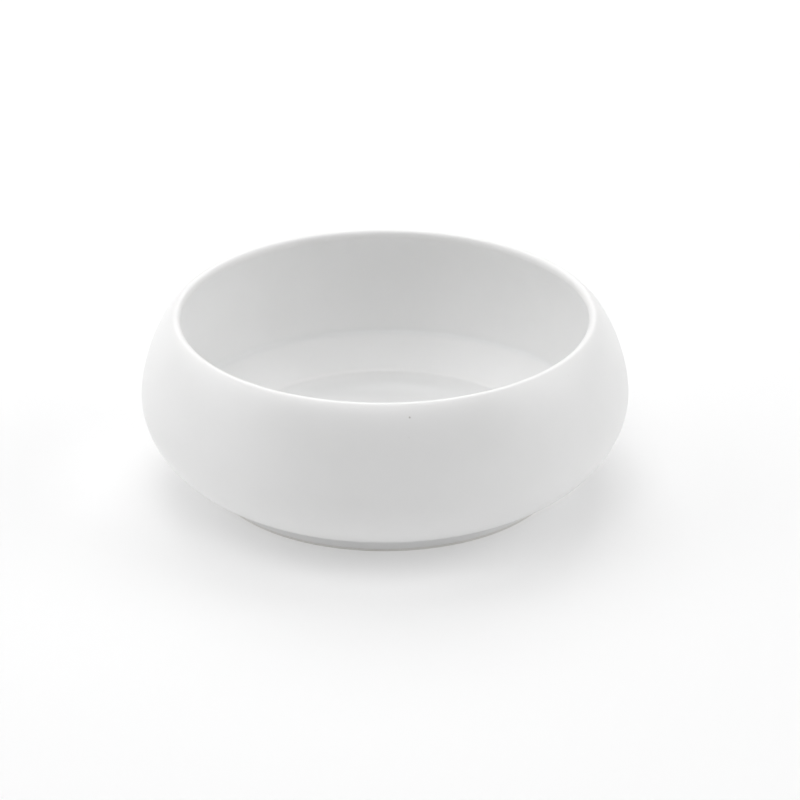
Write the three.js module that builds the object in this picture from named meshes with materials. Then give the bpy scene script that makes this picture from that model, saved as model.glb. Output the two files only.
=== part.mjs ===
import * as THREE from 'three';

// Porcelain crucible: a low round vessel whose sides bulge out over a small foot and draw in again
// to a thin rounded lip. The wall is thickest at the belly. Inside, it ends in a sloping step round
// a recessed well.
// It is thrown and fired as one piece, so it is one closed solid of revolution.
// Millimetres, +Z up. The origin is on the axis, in the plane that the foot rests on.

// Outside
const TOTAL_HEIGHT = 44;
const WIDEST_RADIUS = 60;
const WIDEST_HEIGHT = 23.2;

// Foot and the shallow recess under it
const FOOT_RADIUS = 43;
const FOOT_HEIGHT = 3.5;
const FOOT_EDGE_ROUNDING = 0.8;
const FOOT_RING_WIDTH = 4;
const RECESS_DEPTH = 1.6;

// Mouth
const MOUTH_RADIUS = 50.1;
const LIP_THICKNESS = 2.6;

// Inside
const BELLY_THICKNESS = 5.5;
const INNER_WIDEST_RISE = 2;
const STEP_OUTER_RADIUS = 52.3;
const STEP_OUTER_HEIGHT = 15.1;
const STEP_INNER_RADIUS = 39.8;
const STEP_INNER_HEIGHT = 10;
const WELL_FLOOR_HEIGHT = 4.8;
const WELL_FLOOR_RADIUS = 31;

// Directions of the profile, anticlockwise from straight outwards. The lip's two angles say
// which part of its circle it is; the others are the way the profile runs there.
const RIGHT_ANGLE = Math.PI / 2;
const FOOT_FLARE_ANGLE = THREE.MathUtils.degToRad(10);
const LIP_START_ANGLE = THREE.MathUtils.degToRad(59);
const LIP_END_ANGLE = THREE.MathUtils.degToRad(218);
const STEP_OUTER_ANGLE = THREE.MathUtils.degToRad(-108);
const WELL_SIDE_ANGLE = THREE.MathUtils.degToRad(-108);

// How strongly each curve holds its direction, on leaving and on reaching each place
const FOOT_FLARE_REACH = 8.2;
const WIDEST_REACH_BELOW = 9.9;
const WIDEST_REACH_ABOVE = 8;
const LIP_OUTER_REACH = 3.7;
const LIP_INNER_REACH = 4.5;
const INNER_WIDEST_REACH_ABOVE = 7.5;
const INNER_WIDEST_REACH_BELOW = 3.5;
const STEP_OUTER_REACH = 3.5;
const WELL_SIDE_REACH = 4.8;
const WELL_FLOOR_REACH = 4.6;

// Fineness of the faceted solid
const SEGMENTS_AROUND = 72;
const FACET_LENGTH = 4;
const FACET_TURN = Math.PI / 6;
const ROUNDING_ALLOWANCE = 0.01;
const SAME_POINT = 1e-6;

// A point at a distance and a direction from another, in the plane of the profile.
function stepFrom(point, distance, angle) {
  return new THREE.Vector2(
    point.x + distance * Math.cos(angle),
    point.y + distance * Math.sin(angle),
  );
}

// The middle of the round lip, seen in section.
function lipCentre() {
  const radius = LIP_THICKNESS / 2;
  return new THREE.Vector2(MOUTH_RADIUS + radius, TOTAL_HEIGHT - radius);
}

// A cubic curve that leaves its start and reaches its end along given directions.
function curveAlong(profile, leaveAngle, leaveReach, end, arriveAngle, arriveReach) {
  const leave = stepFrom(profile.currentPoint, leaveReach, leaveAngle);
  const arrive = stepFrom(end, -arriveReach, arriveAngle);
  profile.bezierCurveTo(leave.x, leave.y, arrive.x, arrive.y, end.x, end.y);
}

// The recess under the floor, out to the flat ring that the vessel stands on.
function addUnderside(profile) {
  const ringInnerRadius = FOOT_RADIUS - FOOT_RING_WIDTH;
  const rounding = FOOT_EDGE_ROUNDING;
  profile.moveTo(0, RECESS_DEPTH);
  profile.lineTo(ringInnerRadius - rounding, RECESS_DEPTH);
  profile.absarc(ringInnerRadius - rounding, RECESS_DEPTH - rounding, rounding, RIGHT_ANGLE, 0, true);
  profile.absarc(ringInnerRadius + rounding, rounding, rounding, Math.PI, 3 * RIGHT_ANGLE, false);
  profile.absarc(FOOT_RADIUS - rounding, rounding, rounding, -RIGHT_ANGLE, 0, false);
  profile.lineTo(FOOT_RADIUS, FOOT_HEIGHT);
}

// The outer wall: nearly level as it leaves the foot, upright at its widest, and
// leaning well inwards where it meets the lip.
function addOutside(profile) {
  const widest = new THREE.Vector2(WIDEST_RADIUS, WIDEST_HEIGHT);
  curveAlong(profile, FOOT_FLARE_ANGLE, FOOT_FLARE_REACH, widest, RIGHT_ANGLE, WIDEST_REACH_BELOW);
  const lipStart = stepFrom(lipCentre(), LIP_THICKNESS / 2, LIP_START_ANGLE);
  const leanAngle = LIP_START_ANGLE + RIGHT_ANGLE;
  curveAlong(profile, RIGHT_ANGLE, WIDEST_REACH_ABOVE, lipStart, leanAngle, LIP_OUTER_REACH);
}

// The rounded lip, in two arcs that meet at its highest point.
function addLip(profile) {
  const centre = lipCentre();
  const radius = LIP_THICKNESS / 2;
  profile.absarc(centre.x, centre.y, radius, LIP_START_ANGLE, RIGHT_ANGLE, false);
  profile.absarc(centre.x, centre.y, radius, RIGHT_ANGLE, LIP_END_ANGLE, false);
}

// The inner wall: out and down from the lip to its own widest, then in to the step's outer crease.
function addInnerWall(profile) {
  const widest = new THREE.Vector2(WIDEST_RADIUS - BELLY_THICKNESS, WIDEST_HEIGHT + INNER_WIDEST_RISE);
  const leanAngle = LIP_END_ANGLE + RIGHT_ANGLE;
  curveAlong(profile, leanAngle, LIP_INNER_REACH, widest, -RIGHT_ANGLE, INNER_WIDEST_REACH_ABOVE);
  const crease = new THREE.Vector2(STEP_OUTER_RADIUS, STEP_OUTER_HEIGHT);
  curveAlong(profile, -RIGHT_ANGLE, INNER_WIDEST_REACH_BELOW, crease, STEP_OUTER_ANGLE, STEP_OUTER_REACH);
}

// The floor: a straight ramp down to the inner crease, the steep side of the well, and its flat.
function addFloor(profile) {
  profile.lineTo(STEP_INNER_RADIUS, STEP_INNER_HEIGHT);
  const wellEdge = new THREE.Vector2(WELL_FLOOR_RADIUS, WELL_FLOOR_HEIGHT);
  curveAlong(profile, WELL_SIDE_ANGLE, WELL_SIDE_REACH, wellEdge, Math.PI, WELL_FLOOR_REACH);
  profile.lineTo(0, WELL_FLOOR_HEIGHT);
}

// How many straight facets stand for one piece of the profile.
function facetCount(piece) {
  if (piece.isLineCurve) {
    return 1;
  }
  if (piece.isEllipseCurve) {
    const turn = Math.abs(piece.aEndAngle - piece.aStartAngle);
    return Math.ceil(turn / FACET_TURN - ROUNDING_ALLOWANCE);
  }
  return Math.ceil(piece.getLength() / FACET_LENGTH);
}

// The profile as points, each point where two pieces meet counted once.
function facetedPoints(profile) {
  const points = [profile.curves[0].getPoint(0)];
  for (const piece of profile.curves) {
    for (const point of piece.getPoints(facetCount(piece))) {
      if (point.distanceTo(points.at(-1)) > SAME_POINT) {
        points.push(point);
      }
    }
  }
  return points;
}

// Half of the vessel's section, from the axis underneath round to the axis inside.
function vesselProfile() {
  const profile = new THREE.Path();
  addUnderside(profile);
  addOutside(profile);
  addLip(profile);
  addInnerWall(profile);
  addFloor(profile);
  return facetedPoints(profile);
}

// The lathe turns a profile about its own Y axis, which is then stood up along Z.
function turnedSolid(points) {
  const geometry = new THREE.LatheGeometry(points, SEGMENTS_AROUND);
  geometry.rotateX(RIGHT_ANGLE);
  return geometry;
}

function makeCrucibleBody() {
  const glazedPorcelain = new THREE.MeshStandardMaterial({
    color: 0xf4f4f2,
    roughness: 0.22,
    metalness: 0,
  });
  const body = new THREE.Mesh(turnedSolid(vesselProfile()), glazedPorcelain);
  body.name = 'crucible_body';
  return body;
}

const crucible = new THREE.Group();
crucible.add(makeCrucibleBody());

export default crucible;
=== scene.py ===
"""Porcelain crucible: one glazed vessel with a bare ground ring under its foot, on a pale floor."""

import math

import bpy
from mathutils import Matrix, Vector


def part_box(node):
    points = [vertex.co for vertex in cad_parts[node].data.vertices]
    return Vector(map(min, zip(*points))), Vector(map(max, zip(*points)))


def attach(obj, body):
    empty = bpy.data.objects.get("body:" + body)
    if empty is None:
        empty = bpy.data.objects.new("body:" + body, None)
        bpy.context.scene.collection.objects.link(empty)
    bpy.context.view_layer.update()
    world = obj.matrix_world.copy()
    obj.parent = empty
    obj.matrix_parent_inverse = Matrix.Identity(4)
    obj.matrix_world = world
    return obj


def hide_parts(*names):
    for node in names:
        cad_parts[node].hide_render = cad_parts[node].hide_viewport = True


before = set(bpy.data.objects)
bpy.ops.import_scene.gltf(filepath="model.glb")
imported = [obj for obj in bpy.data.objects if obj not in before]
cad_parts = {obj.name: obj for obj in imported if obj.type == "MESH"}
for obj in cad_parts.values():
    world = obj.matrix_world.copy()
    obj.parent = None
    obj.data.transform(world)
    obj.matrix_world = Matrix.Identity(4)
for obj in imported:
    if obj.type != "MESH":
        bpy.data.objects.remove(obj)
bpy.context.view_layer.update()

MM = 0.001
RIGHT_ANGLE = math.pi / 2

# ---------------------------------------------------------------- sizes
# The overall sizes come from the frame. The others are the design's own, in metres.
BODY_LOW, BODY_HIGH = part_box("crucible_body")
TOTAL_HEIGHT = BODY_HIGH.z - BODY_LOW.z
WIDEST_RADIUS = (BODY_HIGH.x - BODY_LOW.x) / 2
WIDEST_HEIGHT = 23.2 * MM

FOOT_RADIUS = 43 * MM
FOOT_HEIGHT = 3.5 * MM
FOOT_EDGE_ROUNDING = 0.8 * MM
FOOT_RING_WIDTH = 4 * MM
RECESS_DEPTH = 1.6 * MM

MOUTH_RADIUS = 50.1 * MM
LIP_THICKNESS = 2.6 * MM
LIP_RADIUS = LIP_THICKNESS / 2
LIP_CENTRE = Vector((MOUTH_RADIUS + LIP_RADIUS, TOTAL_HEIGHT - LIP_RADIUS))

BELLY_THICKNESS = 5.5 * MM
INNER_WIDEST_RISE = 2 * MM
STEP_OUTER = Vector((52.3, 15.1)) * MM
STEP_INNER = Vector((39.8, 10)) * MM
WELL_FLOOR_RADIUS = 31 * MM
WELL_FLOOR_HEIGHT = 4.8 * MM

# Directions of the profile, anticlockwise from straight outwards.
FOOT_FLARE_ANGLE = math.radians(10)
LIP_START_ANGLE = math.radians(59)
LIP_END_ANGLE = math.radians(218)
STEP_OUTER_ANGLE = math.radians(-108)
WELL_SIDE_ANGLE = math.radians(-108)

# How strongly each curve holds its direction, on leaving and on reaching each place.
FOOT_FLARE_REACH = 8.2 * MM
WIDEST_REACH_BELOW = 9.9 * MM
WIDEST_REACH_ABOVE = 8 * MM
LIP_OUTER_REACH = 3.7 * MM
LIP_INNER_REACH = 4.5 * MM
INNER_WIDEST_REACH_ABOVE = 7.5 * MM
INNER_WIDEST_REACH_BELOW = 3.5 * MM
STEP_OUTER_REACH = 3.5 * MM
WELL_SIDE_REACH = 4.8 * MM
WELL_FLOOR_REACH = 4.6 * MM

# How far the glaze softens each corner, along the surface from the corner.
FOOT_JOINT_SOFTENING = 1.8 * MM
STEP_OUTER_SOFTENING = 0.8 * MM
STEP_INNER_SOFTENING = 0.6 * MM

# The glaze stops in a rounded edge just above the ring that the vessel stands on.
GLAZE_THICKNESS = 0.15 * MM
GLAZE_EDGE_HEIGHT = 0.9 * MM

# The form isn't perfectly round or level, as on any fired piece.
OUT_OF_ROUND = 0.05 * MM
LIP_DIP = 0.06 * MM
LIP_DIP_WAVES = 2
LIP_DIP_PHASE = 1.2
LIP_DIP_SHARPNESS = 6

# The waves that put it out of round: how many there are round the vessel, phase, share of the whole.
OUT_OF_ROUND_WAVES = [(2, 0.7, 0.6), (3, 2.1, 0.4)]

SEGMENTS_AROUND = 240
FACET_LENGTH = 0.7 * MM
FLAT_FACET_LENGTH = 2.1 * MM
FACET_TURN = math.radians(9)
FEWEST_ARC_FACETS = 3
SOFTENING_FACETS = 8
SAME_POINT = 0.0001 * MM

# Glaze runs thin on tight outward turns, and inward turns get painted shade in their creases.
TURN_SPREAD = 0.9 * MM
FULL_LEVEL_TURN = math.radians(22) / MM

# One iron speck on the shoulder.
SPECK_AZIMUTH = math.radians(-83.7)
SPECK_DISTANCE = 54.31 * MM
SPECK_HEIGHT = 41.42 * MM
SPECK_RADIUS = 0.34 * MM


# ---------------------------------------------------------------- profile
def direction(angle):
    return Vector((math.cos(angle), math.sin(angle)))


class Profile:
    """Half of a section, drawn from piece to piece in (distance from axis, height)."""

    def __init__(self, start):
        self.points = [Vector(start)]
        self.corners = []

    def line_to(self, end, facet=FLAT_FACET_LENGTH):
        start = self.points[-1].copy()
        end = Vector(end)
        count = max(1, math.ceil((end - start).length / facet))
        self.points += [start.lerp(end, k / count) for k in range(1, count + 1)]

    def arc(self, centre, radius, start_angle, end_angle):
        count = max(FEWEST_ARC_FACETS, math.ceil(abs(end_angle - start_angle) / FACET_TURN))
        for k in range(count + 1):
            angle = start_angle + (end_angle - start_angle) * k / count
            point = Vector(centre) + radius * direction(angle)
            if (point - self.points[-1]).length > SAME_POINT:
                self.points.append(point)

    def curve_along(self, leave_angle, leave_reach, end, arrive_angle, arrive_reach):
        start = self.points[-1].copy()
        end = Vector(end)
        leave = start + leave_reach * direction(leave_angle)
        arrive = end - arrive_reach * direction(arrive_angle)
        count = math.ceil((end - start).length / FACET_LENGTH)
        for k in range(1, count + 1):
            t = k / count
            u = 1 - t
            point = u**3 * start + 3 * u * u * t * leave + 3 * u * t * t * arrive + t**3 * end
            self.points.append(point)

    def corner(self, softening):
        """Marks the last point as a corner that the glaze softens."""
        self.corners.append((len(self.points) - 1, softening))

    def softened(self):
        """The points, with each marked corner cut back and bridged by a curve."""
        points = self.points
        for index, reach in reversed(self.corners):
            corner = points[index]
            first = index
            while (points[first] - corner).length < reach:
                first -= 1
            last = index
            while (points[last] - corner).length < reach:
                last += 1
            start = corner + (points[first] - corner).normalized() * reach
            end = corner + (points[last] - corner).normalized() * reach
            bridge = []
            for k in range(SOFTENING_FACETS + 1):
                t = k / SOFTENING_FACETS
                bridge.append((1 - t) ** 2 * start + 2 * (1 - t) * t * corner + t * t * end)
            points = points[: first + 1] + bridge + points[last:]
        return points


def add_foot(profile):
    """The recess, the bare ring that the vessel stands on, and the glazed side of the foot."""
    rounding = FOOT_EDGE_ROUNDING
    glaze = GLAZE_THICKNESS
    bare_rounding = rounding - glaze
    ring_inner = FOOT_RADIUS - FOOT_RING_WIDTH
    profile.line_to((ring_inner - rounding, RECESS_DEPTH))
    profile.arc((ring_inner - rounding, RECESS_DEPTH - rounding), rounding, RIGHT_ANGLE, 0)
    profile.arc((ring_inner + glaze, rounding), glaze, math.pi, 3 * RIGHT_ANGLE)
    profile.arc((ring_inner + rounding, bare_rounding), bare_rounding, math.pi, 3 * RIGHT_ANGLE)
    profile.line_to((FOOT_RADIUS - rounding, 0), FACET_LENGTH)
    profile.arc((FOOT_RADIUS - rounding, bare_rounding), bare_rounding, -RIGHT_ANGLE, 0)
    profile.line_to((FOOT_RADIUS - glaze, GLAZE_EDGE_HEIGHT), FACET_LENGTH)
    profile.arc((FOOT_RADIUS - glaze, GLAZE_EDGE_HEIGHT + glaze), glaze, -RIGHT_ANGLE, 0)
    profile.line_to((FOOT_RADIUS, FOOT_HEIGHT), FACET_LENGTH)
    profile.corner(FOOT_JOINT_SOFTENING)


def add_outside(profile):
    widest = (WIDEST_RADIUS, WIDEST_HEIGHT)
    profile.curve_along(FOOT_FLARE_ANGLE, FOOT_FLARE_REACH, widest, RIGHT_ANGLE, WIDEST_REACH_BELOW)
    lip_start = LIP_CENTRE + LIP_RADIUS * direction(LIP_START_ANGLE)
    lean = LIP_START_ANGLE + RIGHT_ANGLE
    profile.curve_along(RIGHT_ANGLE, WIDEST_REACH_ABOVE, lip_start, lean, LIP_OUTER_REACH)
    profile.arc(LIP_CENTRE, LIP_RADIUS, LIP_START_ANGLE, RIGHT_ANGLE)
    profile.arc(LIP_CENTRE, LIP_RADIUS, RIGHT_ANGLE, LIP_END_ANGLE)


def add_inside(profile):
    widest = (WIDEST_RADIUS - BELLY_THICKNESS, WIDEST_HEIGHT + INNER_WIDEST_RISE)
    lean = LIP_END_ANGLE + RIGHT_ANGLE
    profile.curve_along(lean, LIP_INNER_REACH, widest, -RIGHT_ANGLE, INNER_WIDEST_REACH_ABOVE)
    profile.curve_along(
        -RIGHT_ANGLE, INNER_WIDEST_REACH_BELOW, STEP_OUTER, STEP_OUTER_ANGLE, STEP_OUTER_REACH
    )
    profile.corner(STEP_OUTER_SOFTENING)
    profile.line_to(STEP_INNER, FACET_LENGTH)
    profile.corner(STEP_INNER_SOFTENING)
    well_edge = (WELL_FLOOR_RADIUS, WELL_FLOOR_HEIGHT)
    profile.curve_along(WELL_SIDE_ANGLE, WELL_SIDE_REACH, well_edge, math.pi, WELL_FLOOR_REACH)
    profile.line_to((0, WELL_FLOOR_HEIGHT))


def vessel_profile():
    """From the axis under the foot, round the outside and the lip, to the axis inside."""
    profile = Profile((0, RECESS_DEPTH))
    add_foot(profile)
    add_outside(profile)
    add_inside(profile)
    return profile.softened()


def crease_shade_and_thin_glaze_levels(points):
    """How much painted shade and thin glaze each point gets: up to 1 in inward creases, which get
    painted shade, down to -1 where the glaze runs thin.
    """
    lengths = [0.0]
    for before, after in zip(points, points[1:]):
        lengths.append(lengths[-1] + (after - before).length)
    turns = [0.0]
    for before, here, after in zip(points, points[1:], points[2:]):
        turns.append((here - before).angle_signed(after - here))
    turns.append(0.0)
    shade_and_glaze_levels = []
    for here in lengths:
        inward_turn = 0.0
        for there, turn in zip(lengths, turns):
            offset = (there - here) / TURN_SPREAD
            inward_turn += turn * math.exp(-offset * offset / 2)
        density = inward_turn / (TURN_SPREAD * math.sqrt(2 * math.pi))
        shade_and_glaze_levels.append(max(-1.0, min(1.0, density / FULL_LEVEL_TURN)))
    return shade_and_glaze_levels


# ---------------------------------------------------------------- mesh
def surface_point(point, angle):
    """Where a profile point lies at an angle round the axis, with the unevenness of the form."""
    height_share = max(0.0, point.y / TOTAL_HEIGHT)
    swell = 0.0
    for waves, phase, share in OUT_OF_ROUND_WAVES:
        swell += share * math.sin(waves * angle + phase)
    radius = point.x + OUT_OF_ROUND * swell * height_share * min(1.0, point.x / MOUTH_RADIUS)
    low_share = 0.5 - 0.5 * math.cos(LIP_DIP_WAVES * angle + LIP_DIP_PHASE)
    dip = LIP_DIP * low_share * height_share**LIP_DIP_SHARPNESS
    return (radius * math.cos(angle), radius * math.sin(angle), point.y - dip)


def is_bare(low, high):
    """Whether the strip of surface between two profile points is on the unglazed ring."""
    inner = FOOT_RADIUS - FOOT_RING_WIDTH + GLAZE_THICKNESS - SAME_POINT
    outer = FOOT_RADIUS - GLAZE_THICKNESS + SAME_POINT
    above = GLAZE_EDGE_HEIGHT + SAME_POINT
    return inner < min(low.x, high.x) and max(low.x, high.x) < outer and max(low.y, high.y) < above


def vessel_mesh(points):
    """One closed mesh from a profile that starts and ends on the axis."""
    verts = [(0, 0, points[0].y)]
    for point in points[1:-1]:
        for k in range(SEGMENTS_AROUND):
            verts.append(surface_point(point, 2 * math.pi * k / SEGMENTS_AROUND))
    verts.append((0, 0, points[-1].y))
    rings = len(points) - 2
    faces = []
    bare = []
    for k in range(SEGMENTS_AROUND):
        after = (k + 1) % SEGMENTS_AROUND
        faces.append((0, 1 + after, 1 + k))
        bare.append(False)
        for ring in range(rings - 1):
            low = 1 + ring * SEGMENTS_AROUND
            high = low + SEGMENTS_AROUND
            faces.append((low + k, low + after, high + after, high + k))
            bare.append(is_bare(points[ring + 1], points[ring + 2]))
        top = 1 + (rings - 1) * SEGMENTS_AROUND
        faces.append((top + k, top + after, len(verts) - 1))
        bare.append(False)
    mesh = bpy.data.meshes.new("vessel")
    mesh.from_pydata(verts, [], faces)
    mesh.polygons.foreach_set("material_index", [int(flag) for flag in bare])
    shade_and_glaze_levels = crease_shade_and_thin_glaze_levels(points)
    spread = [shade_and_glaze_levels[0]]
    for amount in shade_and_glaze_levels[1:-1]:
        spread += [amount] * SEGMENTS_AROUND
    spread.append(shade_and_glaze_levels[-1])
    # The level of painted crease shade and thin glaze, kept on each vertex.
    mesh.attributes.new("crease_shade_and_thin_glaze", "FLOAT", "POINT").data.foreach_set("value", spread)
    mesh.update()
    mesh.shade_smooth()
    return mesh


# ---------------------------------------------------------------- materials
# The glazed body: slow clouds and finer mottling over the white.
CLOUD_SIZE = 26 * MM
CLOUD_DETAIL = 3.0
CLOUD_RANGE = (0.35, 0.65)
MOTTLE_SIZE = 5 * MM
MOTTLE_RANGE = (0.4, 0.7)
MOTTLE_SHARE = 0.25
CLOUD_WHITE = (0.885, 0.886, 0.883, 1)
CLEAR_WHITE = (0.905, 0.905, 0.904, 1)
MOTTLE_WHITE = (0.912, 0.911, 0.907, 1)

# Painted shade in the inward creases, and where the glaze runs thin: their colours, how much of each
# shows, and the gloss.
PAINTED_CREASE_SHADE = (0.872, 0.878, 0.878, 1)
CREASE_SHADE_SHARE = 0.8
GATHERED_SMOOTHING = 0.02
THIN_WHITE = (0.892, 0.889, 0.883, 1)
THIN_SHARE = 0.7
THIN_ROUGHENING = 0.09

# The roughness stays above 0.28 everywhere, because a glossier glaze showed hard outlines.
GLOSS_RANGE = (0.3, 0.7)
GLOSSIEST = 0.32
DULLEST = 0.38
MOTTLE_ROUGHENING = 0.015

# The speck and the scattered dust under the glaze.
SPECK_BROWN = (0.36, 0.33, 0.3, 1)
SPECK_SHARE = 0.6
SPECK_CORE = 0.35
SPECK_PIT_DEPTH = 0.03 * MM
DUST_BROWN = (0.5, 0.45, 0.4, 1)
DUST_SHARE = 0.3
DUST_CORE = 0.4
DUST_SPACING = 5.5 * MM
DUST_RADIUS = 0.2 * MM
DUST_CELL_SHARE = 0.12

# The glaze's surface: long shallow ripples and a finer texture.
RIPPLE_SIZE = 4.5 * MM
RIPPLE_DETAIL = 1.0
RIPPLE_DEPTH = 0.012 * MM
TEXTURE_SIZE = 0.9 * MM
TEXTURE_DEPTH = 0.002 * MM

# The bare ring: grain, stains, and grinding marks that run round it.
BARE_DARK = (0.79, 0.775, 0.745, 1)
BARE_LIGHT = (0.86, 0.85, 0.83, 1)
STAIN_COLOUR = (0.7, 0.68, 0.64, 1)
STAIN_SIZE = 7 * MM
STAIN_DETAIL = 3.0
STAIN_RANGE = (0.5, 0.75)
STAIN_SHARE = 0.5
BARE_GRAIN_SIZE = 0.35 * MM
BARE_GRAIN_DETAIL = 4.0
BARE_GRAIN_RANGE = (0.35, 0.7)
BARE_GRAIN_DEPTH = 0.03 * MM
BARE_SMOOTHEST = 0.7
BARE_ROUGHEST = 0.9
GRINDING_PITCH = 0.45 * MM
GRINDING_DEPTH = 0.004 * MM
GRINDING_WANDER = 0.3 * MM
GRINDING_WANDER_SIZE = 3 * MM


class Nodes:
    """Short calls that build one material's nodes."""

    def __init__(self, name):
        self.material = bpy.data.materials.new(name)
        self.material.use_nodes = True
        self.tree = self.material.node_tree
        self.shader = self.tree.nodes["Principled BSDF"]
        self.position = self.add("ShaderNodeTexCoord").outputs["Object"]

    def add(self, kind, inputs=None, **settings):
        """A node with its settings. Each input is a value, or another node's output to link."""
        node = self.tree.nodes.new(kind)
        for name, value in settings.items():
            setattr(node, name, value)
        for key, value in (inputs or {}).items():
            if isinstance(value, bpy.types.NodeSocket):
                self.tree.links.new(value, node.inputs[key])
            else:
                node.inputs[key].default_value = value
        return node

    def noise(self, wavelength, detail=2.0):
        inputs = {"Vector": self.position, "Scale": 1 / wavelength, "Detail": detail}
        return self.add("ShaderNodeTexNoise", inputs).outputs["Fac"]

    def math(self, operation, *values):
        return self.add("ShaderNodeMath", dict(enumerate(values)), operation=operation).outputs[0]

    def remap(self, value, low, high, to_low=0.0, to_high=1.0, smooth=False):
        kind = "SMOOTHSTEP" if smooth else "LINEAR"
        inputs = {0: value, 1: low, 2: high, 3: to_low, 4: to_high}
        return self.add("ShaderNodeMapRange", inputs, interpolation_type=kind).outputs[0]

    def mix(self, share, first, second):
        inputs = {0: share, 6: first, 7: second}
        return self.add("ShaderNodeMix", inputs, data_type="RGBA").outputs[2]

    def spot(self, centre, radius, core):
        """1 near a place on the surface, out to a core share of the radius, then fading to 0 at it."""
        inputs = {0: self.position, 1: tuple(centre)}
        distance = self.add("ShaderNodeVectorMath", inputs, operation="DISTANCE").outputs["Value"]
        return self.remap(distance, radius * core, radius, 1, 0, smooth=True)

    def specks(self, spacing, radius, core, share_of_cells):
        """Scattered dots, in the given share of the cells of a lattice."""
        inputs = {"Vector": self.position, "Scale": 1 / spacing}
        cells = self.add("ShaderNodeTexVoronoi", inputs, feature="F1")
        edge = radius / spacing
        dot = self.remap(cells.outputs["Distance"], edge * core, edge, 1, 0, smooth=True)
        chance = self.add("ShaderNodeSeparateColor", {0: cells.outputs["Color"]}).outputs["Red"]
        return self.math("MULTIPLY", dot, self.math("LESS_THAN", chance, share_of_cells))

    def bump(self, height, amount, normal=None):
        inputs = {"Height": height, "Distance": amount, "Strength": 1.0}
        if normal is not None:
            inputs["Normal"] = normal
        return self.add("ShaderNodeBump", inputs).outputs["Normal"]

    def finish(self, colour, roughness, normal):
        self.tree.links.new(colour, self.shader.inputs["Base Color"])
        self.tree.links.new(roughness, self.shader.inputs["Roughness"])
        self.tree.links.new(normal, self.shader.inputs["Normal"])
        return self.material


def glazed_porcelain():
    """White porcelain under a soft glaze, with painted shade darker and a little cooler in the inward
    creases, and warmer where the glaze runs thin.
    """
    nodes = Nodes("glazed_porcelain")
    cloud = nodes.noise(CLOUD_SIZE, CLOUD_DETAIL)
    mottle = nodes.noise(MOTTLE_SIZE)
    mottle_share = nodes.remap(mottle, *MOTTLE_RANGE, 0, MOTTLE_SHARE)
    white = nodes.mix(nodes.remap(cloud, *CLOUD_RANGE), CLOUD_WHITE, CLEAR_WHITE)
    white = nodes.mix(mottle_share, white, MOTTLE_WHITE)
    amount = nodes.add("ShaderNodeAttribute", attribute_name="crease_shade_and_thin_glaze").outputs["Fac"]
    # Painted shade: darker and a little cooler in the inward creases, such as the foot joint and the
    # step inside.
    inward_turn = nodes.remap(amount, 0, 1, 0, CREASE_SHADE_SHARE, smooth=True)
    thin = nodes.remap(amount, 0, -1, 0, THIN_SHARE, smooth=True)
    colour = nodes.mix(inward_turn, white, PAINTED_CREASE_SHADE)
    colour = nodes.mix(thin, colour, THIN_WHITE)

    outwards = Vector((math.cos(SPECK_AZIMUTH), math.sin(SPECK_AZIMUTH), 0))
    speck_centre = outwards * SPECK_DISTANCE + Vector((0, 0, SPECK_HEIGHT))
    speck = nodes.spot(speck_centre, SPECK_RADIUS, SPECK_CORE)
    colour = nodes.mix(nodes.math("MULTIPLY", speck, SPECK_SHARE), colour, SPECK_BROWN)
    dust = nodes.specks(DUST_SPACING, DUST_RADIUS, DUST_CORE, DUST_CELL_SHARE)
    colour = nodes.mix(nodes.math("MULTIPLY", dust, DUST_SHARE), colour, DUST_BROWN)

    mottle_roughness = nodes.remap(mottle, *GLOSS_RANGE, -MOTTLE_ROUGHENING, MOTTLE_ROUGHENING)
    smoothing = nodes.math("MULTIPLY", inward_turn, GATHERED_SMOOTHING)
    roughness = nodes.remap(cloud, *GLOSS_RANGE, GLOSSIEST, DULLEST)
    roughness = nodes.math("ADD", roughness, mottle_roughness)
    roughness = nodes.math("ADD", roughness, nodes.math("MULTIPLY", thin, THIN_ROUGHENING))
    roughness = nodes.math("SUBTRACT", roughness, smoothing)

    normal = nodes.bump(nodes.noise(RIPPLE_SIZE, RIPPLE_DETAIL), RIPPLE_DEPTH)
    normal = nodes.bump(nodes.noise(TEXTURE_SIZE), TEXTURE_DEPTH, normal)
    normal = nodes.bump(nodes.math("MULTIPLY", speck, -1), SPECK_PIT_DEPTH, normal)
    return nodes.finish(colour, roughness, normal)


def bare_porcelain():
    """The unglazed ring: porcelain ground flat, with a fine grain and grinding marks round it."""
    nodes = Nodes("bare_porcelain")
    grain = nodes.noise(BARE_GRAIN_SIZE, BARE_GRAIN_DETAIL)
    stain = nodes.noise(STAIN_SIZE, STAIN_DETAIL)
    colour = nodes.mix(nodes.remap(grain, *BARE_GRAIN_RANGE), BARE_DARK, BARE_LIGHT)
    colour = nodes.mix(nodes.remap(stain, *STAIN_RANGE, 0, STAIN_SHARE), colour, STAIN_COLOUR)
    inputs = {0: nodes.position, 1: (1, 1, 0)}
    flat = nodes.add("ShaderNodeVectorMath", inputs, operation="MULTIPLY").outputs[0]
    radius = nodes.add("ShaderNodeVectorMath", {0: flat}, operation="LENGTH").outputs["Value"]
    wander = nodes.math("MULTIPLY", nodes.noise(GRINDING_WANDER_SIZE), GRINDING_WANDER)
    wandering = nodes.math("ADD", radius, wander)
    phase = nodes.math("MULTIPLY", wandering, 2 * math.pi / GRINDING_PITCH)
    roughness = nodes.remap(grain, *GLOSS_RANGE, BARE_SMOOTHEST, BARE_ROUGHEST)
    normal = nodes.bump(nodes.math("SINE", phase), GRINDING_DEPTH)
    normal = nodes.bump(grain, BARE_GRAIN_DEPTH, normal)
    return nodes.finish(colour, roughness, normal)


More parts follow.
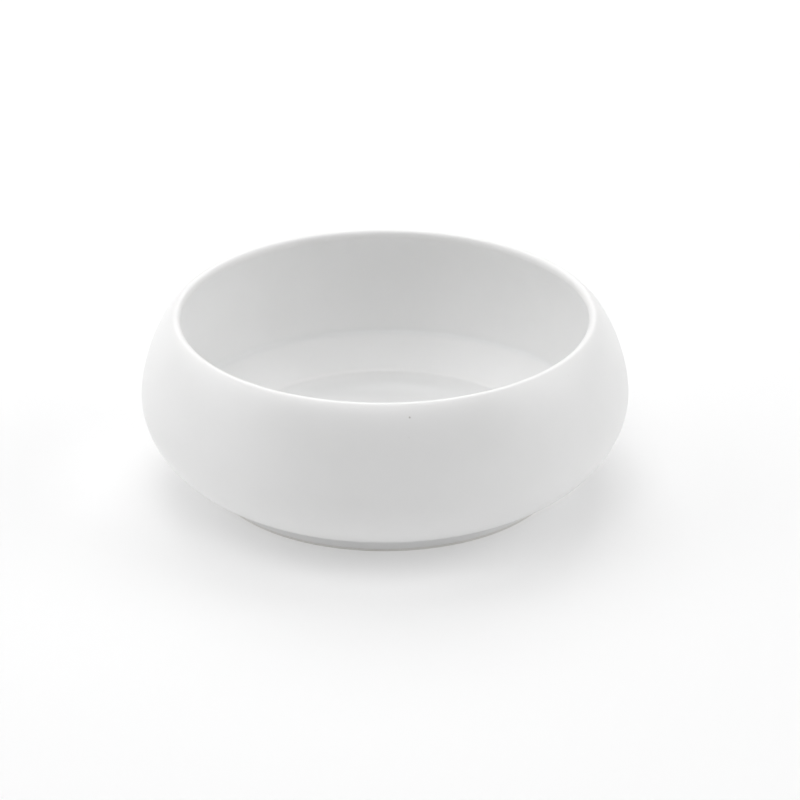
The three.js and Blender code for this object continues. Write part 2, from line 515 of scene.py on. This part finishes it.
# ---------------------------------------------------------------- the piece
vessel = bpy.data.objects.new("vessel", vessel_mesh(vessel_profile()))
bpy.context.scene.collection.objects.link(vessel)
vessel.data.materials.append(glazed_porcelain())
vessel.data.materials.append(bare_porcelain())
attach(vessel, "root")
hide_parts("crucible_body")


# ---------------------------------------------------------------- stage
# The floor is light grey paper that glows a little, so that shadows on it stay faint.
FLOOR_HALF = 1.3
FLOOR_DROP = 0.05 * MM
FLOOR_GREY = 0.6
FLOOR_ROUGHNESS = 0.9
FLOOR_GLOW = 0.32

# The camera aims at the middle of the vessel, and is then moved sideways and down.
CAMERA_ELEVATION = math.radians(25.33)
CAMERA_ROLL = math.radians(-0.16)
CAMERA_DISTANCE = 1.5
CAMERA_MOVED_RIGHT = 3.68 * MM
CAMERA_MOVED_DOWN = 1.39 * MM
CAMERA_CLIP_END = 20
SENSOR_WIDTH = 36
VESSEL_SHARE_OF_WIDTH = 0.6075

# The softboxes: name, azimuth, elevation, power in watts. The strongest is behind the vessel.
SOFTBOXES = [
    ("back_high", 180, 50, 13),
    ("right", 90, 30, 9),
    ("front_high", 0, 70, 8),
    ("left", 270, 30, 7),
    ("left_high", 270, 70, 5),
    ("back_left", 225, 30, 3),
]
SOFTBOX_DISTANCE = 1.6
SOFTBOX_SIZE = 1.2

# The room: white up to the horizon, dim above it and black overhead. Each pair is the sine of
# the elevation, then the level there.
ROOM = [
    (0.0, 1.0),
    (0.015, 1.0),
    (0.035, 0.1),
    (0.5, 0.1),
    (1.0, 0.0),
]


def make_floor():
    half = FLOOR_HALF
    corners = [(-half, -half, 0), (half, -half, 0), (half, half, 0), (-half, half, 0)]
    mesh = bpy.data.meshes.new("floor")
    mesh.from_pydata(corners, [], [(0, 1, 2, 3)])
    floor = bpy.data.objects.new("floor", mesh)
    floor.location.z = -FLOOR_DROP
    bpy.context.scene.collection.objects.link(floor)
    material = bpy.data.materials.new("floor_paper")
    material.use_nodes = True
    shader = material.node_tree.nodes["Principled BSDF"]
    shader.inputs["Base Color"].default_value = (FLOOR_GREY, FLOOR_GREY, FLOOR_GREY, 1)
    shader.inputs["Roughness"].default_value = FLOOR_ROUGHNESS
    shader.inputs["Emission Color"].default_value = (1, 1, 1, 1)
    shader.inputs["Emission Strength"].default_value = FLOOR_GLOW
    floor.data.materials.append(material)


def make_camera():
    """A long lens above the vessel's level, with the vessel a little left of centre."""
    data = bpy.data.cameras.new("camera")
    data.sensor_width = SENSOR_WIDTH
    data.lens = SENSOR_WIDTH * CAMERA_DISTANCE / (2 * WIDEST_RADIUS / VESSEL_SHARE_OF_WIDTH)
    data.clip_end = CAMERA_CLIP_END
    camera = bpy.data.objects.new("camera", data)
    aim = Vector((0, 0, TOTAL_HEIGHT / 2))
    back = Vector((0, -math.cos(CAMERA_ELEVATION), math.sin(CAMERA_ELEVATION)))
    up = Vector((0, math.sin(CAMERA_ELEVATION), math.cos(CAMERA_ELEVATION)))
    right = Vector((1, 0, 0))
    camera.location = aim + CAMERA_DISTANCE * back + CAMERA_MOVED_RIGHT * right - CAMERA_MOVED_DOWN * up
    tilt = Matrix.Rotation(RIGHT_ANGLE - CAMERA_ELEVATION, 3, "X")
    look = tilt @ Matrix.Rotation(CAMERA_ROLL, 3, "Z")
    camera.rotation_euler = look.to_euler()
    bpy.context.scene.collection.objects.link(camera)
    bpy.context.scene.camera = camera


def make_light(name, azimuth, elevation, distance, size, power):
    """A soft square light, aimed at the vessel. Azimuth 0 is the camera's side and 90 the right."""
    around = math.radians(azimuth)
    above = math.radians(elevation)
    data = bpy.data.lights.new(name, "AREA")
    data.shape = "SQUARE"
    data.size = size
    data.energy = power
    light = bpy.data.objects.new(name, data)
    level = math.cos(above)
    offset = Vector((math.sin(around) * level, -math.cos(around) * level, math.sin(above)))
    light.location = offset * distance + Vector((0, 0, TOTAL_HEIGHT / 2))
    light.rotation_euler = offset.to_track_quat("Z", "Y").to_euler()
    bpy.context.scene.collection.objects.link(light)


def make_world():
    world = bpy.data.worlds.new("studio")
    world.use_nodes = True
    tree = world.node_tree
    towards = tree.nodes.new("ShaderNodeTexCoord")
    split = tree.nodes.new("ShaderNodeSeparateXYZ")
    ramp = tree.nodes.new("ShaderNodeValToRGB")
    tree.links.new(towards.outputs["Generated"], split.inputs[0])
    tree.links.new(split.outputs["Z"], ramp.inputs[0])
    tree.links.new(ramp.outputs["Color"], tree.nodes["Background"].inputs["Color"])
    stops = ramp.color_ramp.elements
    while len(stops) < len(ROOM):
        stops.new(1.0)
    for stop, (height, level) in zip(stops, ROOM):
        stop.position = height
        stop.color = (level, level, level, 1)
    bpy.context.scene.world = world


make_floor()
make_camera()
for name, azimuth, elevation, power in SOFTBOXES:
    make_light(name, azimuth, elevation, SOFTBOX_DISTANCE, SOFTBOX_SIZE, power)
make_world()
bpy.context.scene.view_settings.view_transform = "Standard"
